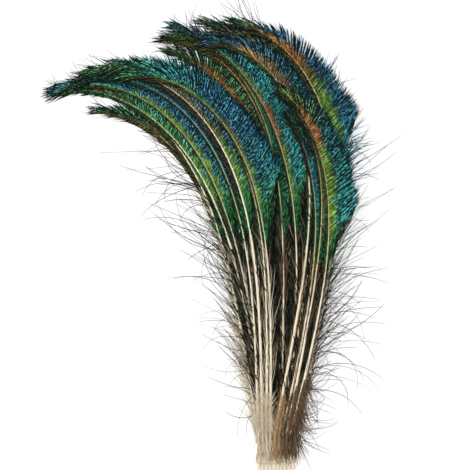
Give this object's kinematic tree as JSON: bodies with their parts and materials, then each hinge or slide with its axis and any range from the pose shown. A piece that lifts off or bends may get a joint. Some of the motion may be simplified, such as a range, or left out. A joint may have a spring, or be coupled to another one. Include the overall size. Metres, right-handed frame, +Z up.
{
  "type": "bunch of peacock sword feathers",
  "caption": "Gathered bunch of curved, one-sided peacock sword feathers, tied with thread around the quills, for laying on a table or shelf.",
  "frame": {"origin": "middle of the thread tie's flat underside, on the surface that the bunch lies on", "axes": "+Y from the tie towards the feathers' tips, +Z up from the surface, +X towards the feathers' wide outer vanes"},
  "size_m": [0.2648, 0.3589, 0.0177],
  "materials": {
    "feather": "iridescent green to blue barbs, satin",
    "quill": "ivory horn, satin",
    "thread": "undyed cotton thread, matt"
  },
  "bodies": {
    "root": {"feather_01": "feather", "feather_02": "feather", "feather_03": "feather", "feather_04": "feather", "feather_05": "feather", "feather_06": "feather", "feather_07": "feather", "feather_08": "feather", "feather_09": "feather", "feather_10": "feather", "feather_11": "feather", "feather_12": "feather", "feather_13": "feather", "feather_14": "feather", "feather_15": "feather", "feather_16": "feather", "feather_17": "feather", "feather_18": "feather", "feather_19": "feather", "feather_20": "feather", "thread_tie": "thread"}
  },
  "joints": []
}
